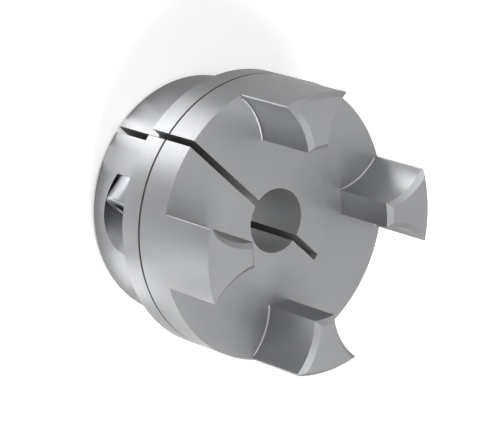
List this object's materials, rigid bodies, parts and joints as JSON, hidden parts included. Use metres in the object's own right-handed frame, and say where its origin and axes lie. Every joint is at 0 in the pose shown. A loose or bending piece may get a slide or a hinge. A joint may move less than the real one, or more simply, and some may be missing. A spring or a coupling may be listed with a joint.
{
  "type": "jaw coupling hub",
  "caption": "Aluminium clamping hub, one half of a curved-jaw flexible shaft coupling, with a slit, a clamp screw in a counterbore and upright jaws for an elastic spider.",
  "frame": {"origin": "centre of the bore on the flat rear face, which the hub stands on", "axes": "+Z along the bore towards the jaws, the clamp slit opens towards -X, and the clamp screw's head faces -Y"},
  "size_m": [0.06, 0.06, 0.045],
  "materials": {
    "hub_aluminium": "satin, as turned and milled",
    "screw_steel": "bright zinc plated"
  },
  "bodies": {
    "hub": {"hub": "hub_aluminium"},
    "clamp_screw": {"clamp_screw": "screw_steel"}
  },
  "joints": [
    {"name": "clamp_screw_turn", "type": "hinge", "parent": "hub", "child": "clamp_screw", "pos_m": [-0.02, -0.009, 0.0103], "axis": [0, -1, 0], "range_deg": [0, 120]}
  ]
}
